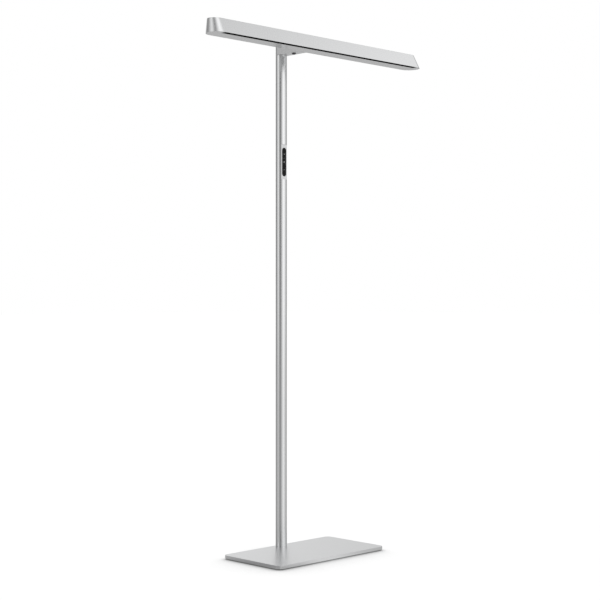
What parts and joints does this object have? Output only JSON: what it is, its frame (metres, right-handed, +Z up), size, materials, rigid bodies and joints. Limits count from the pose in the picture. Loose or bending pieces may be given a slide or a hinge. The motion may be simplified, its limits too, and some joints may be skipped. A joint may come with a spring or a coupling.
{
  "type": "floor lamp",
  "caption": "Free-standing office floor lamp with a flat base plate, a round stem with a control pad, a short arm and a long slim head that shines down and up.",
  "frame": {"origin": "middle of the base on the floor, which is the bottom centre of the bounding box", "axes": "+Z up, -Y the front that the keys face, +X along the head to the right of someone facing the lamp"},
  "size_m": [1.106, 0.304, 1.95],
  "materials": {
    "base_paint": "fine silver powder coat",
    "stem_metal": "satin anodised",
    "head_metal": "fine blasted and anodised",
    "steel": "zinc plated",
    "pad_rubber": "matt",
    "bushing_rubber": "matt",
    "cable_sheath": "matt",
    "black_frame": "fine texture",
    "key_plastic": "satin",
    "light_guide": "clear, polished",
    "louvre_black": "dull",
    "optic": "clear, polished",
    "opal": "satin opal",
    "board_green": "solder mask",
    "board_white": "white solder mask",
    "led": "phosphor",
    "rail_metal": "mill finish",
    "case_white": "moulded",
    "black_housing": "moulded",
    "sensor_black": "smooth",
    "switch_grey": "moulded"
  },
  "bodies": {
    "lamp": {"base_plate": "base_paint", "floor_pads": "pad_rubber", "base_bolts": "steel", "foot_plug": "steel", "stem_tube": "stem_metal", "stem_grubs": "steel", "cord_bushing": "bushing_rubber", "lead_coupler": "black_housing", "supply_lead": "cable_sheath", "control_frame": "black_frame", "status_window": "light_guide", "control_board": "board_green", "switch_bodies": "switch_grey", "board_screws": "steel", "control_lead": "cable_sheath", "control_seat": "stem_metal", "top_plug": "steel", "arm_body": "head_metal", "arm_cover": "head_metal", "cover_screws": "steel", "arm_screws": "steel", "sensor_lens": "sensor_black", "sensor_board": "board_green", "sensor_lead": "cable_sheath", "head_shell": "head_metal", "neck_bracket": "steel", "neck_screws": "steel", "underside_panel": "head_metal", "panel_screws": "steel", "heat_rail": "rail_metal", "rail_screws": "steel", "louvre": "louvre_black", "lens_strip": "optic", "downlight_board": "board_white", "downlight_leds": "led", "uplight_board": "board_white", "uplight_leds": "led", "uplight_diffuser": "opal", "driver": "case_white", "driver_screws": "steel", "driver_lead": "cable_sheath", "board_leads": "cable_sheath", "terminal_block": "case_white"},
    "brighter_key": {"key_brighter": "key_plastic", "plunger_brighter": "switch_grey"},
    "power_key": {"key_power": "key_plastic", "plunger_power": "switch_grey"},
    "dimmer_key": {"key_dimmer": "key_plastic", "plunger_dimmer": "switch_grey"}
  },
  "joints": [
    {"name": "brighter_press", "type": "slide", "parent": "lamp", "child": "brighter_key", "axis": [0, 1, 0], "range_m": [0, 0.0006], "stiffness_N_per_m": 1500},
    {"name": "power_press", "type": "slide", "parent": "lamp", "child": "power_key", "axis": [0, 1, 0], "range_m": [0, 0.0006], "stiffness_N_per_m": 1500},
    {"name": "dimmer_press", "type": "slide", "parent": "lamp", "child": "dimmer_key", "axis": [0, 1, 0], "range_m": [0, 0.0006], "stiffness_N_per_m": 1500}
  ]
}
